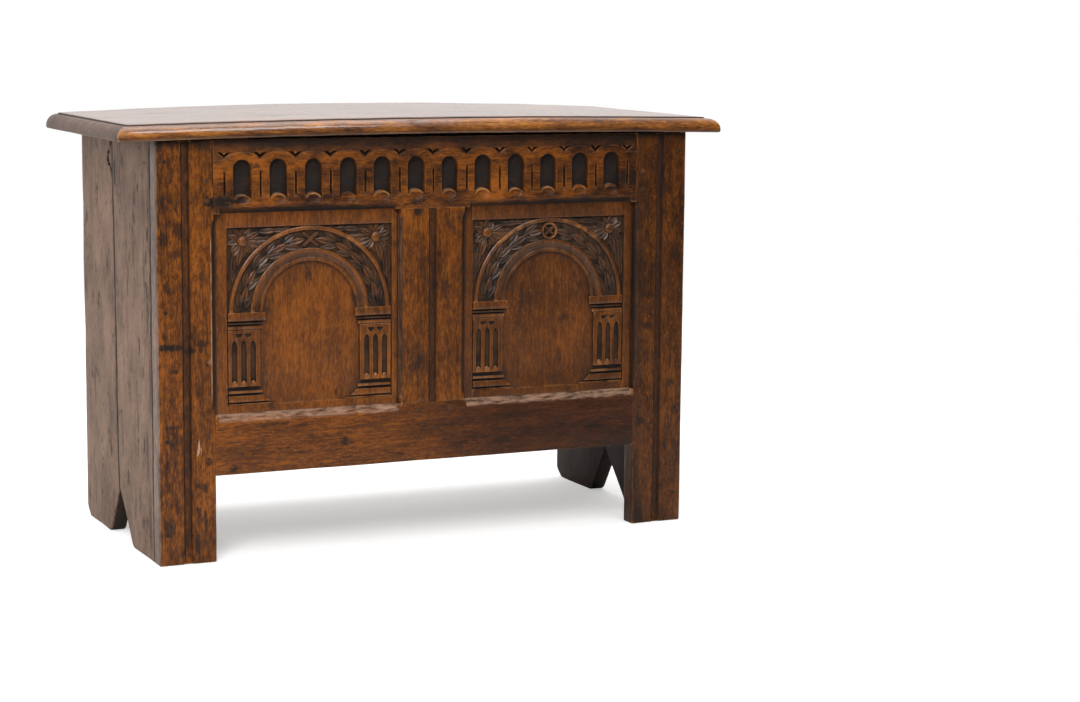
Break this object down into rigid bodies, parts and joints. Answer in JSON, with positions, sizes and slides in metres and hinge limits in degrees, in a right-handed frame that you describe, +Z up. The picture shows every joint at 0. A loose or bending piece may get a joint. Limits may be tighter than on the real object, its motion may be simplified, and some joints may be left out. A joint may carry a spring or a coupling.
{
  "type": "coffer chest",
  "caption": "Joined oak coffer chest with a carved panelled front, boarded ends on V-cut feet and a hinged plank lid.",
  "frame": {"origin": "on the floor at the middle of the chest's overall box", "axes": "+X along the front to the right, +Y from the front to the back, +Z up"},
  "size_m": [0.95, 0.4162, 0.6384],
  "materials": {
    "front_oak": "waxed, aged, satin",
    "end_oak": "dry, worn, matte",
    "lid_oak": "waxed, polished by use",
    "inner_oak": "sawn, unfinished, matte",
    "peg_oak": "riven, end grain",
    "iron": "wrought, blackened, rusted"
  },
  "bodies": {
    "carcase": {"stile_left": "front_oak", "stile_right": "front_oak", "top_rail": "front_oak", "bottom_rail": "front_oak", "muntin": "front_oak", "panel_left": "front_oak", "panel_right": "front_oak", "end_left_front": "end_oak", "end_left_rear": "end_oak", "end_right_front": "end_oak", "end_right_rear": "end_oak", "back_board_lower": "inner_oak", "back_board_middle": "inner_oak", "back_board_upper": "inner_oak", "bottom_board_front": "inner_oak", "bottom_board_middle": "inner_oak", "bottom_board_rear": "inner_oak", "ledger_front": "inner_oak", "ledger_rear": "inner_oak", "dowels_end_left": "peg_oak", "dowels_end_right": "peg_oak", "pegs_left": "peg_oak", "pegs_right": "peg_oak", "pegs_muntin": "peg_oak", "nails_back": "iron", "nails_bottom": "iron", "nails_ledgers": "iron", "nails_hinge_back": "iron", "nails_stile_left": "iron", "nails_stile_right": "iron", "hinge_left_pin": "iron", "hinge_right_pin": "iron", "hinge_left_back_leaf": "iron", "hinge_right_back_leaf": "iron"},
    "lid": {"lid_board_front": "lid_oak", "lid_board_rear": "lid_oak", "dowels_lid": "peg_oak", "nails_hinge_lid": "iron", "hinge_left_lid_leaf": "iron", "hinge_right_lid_leaf": "iron"}
  },
  "joints": [
    {"name": "lid_hinge", "type": "hinge", "parent": "carcase", "child": "lid", "pos_m": [0, 0.20315, 0.60985], "axis": [-1, 0, 0], "range_deg": [0, 110]}
  ]
}
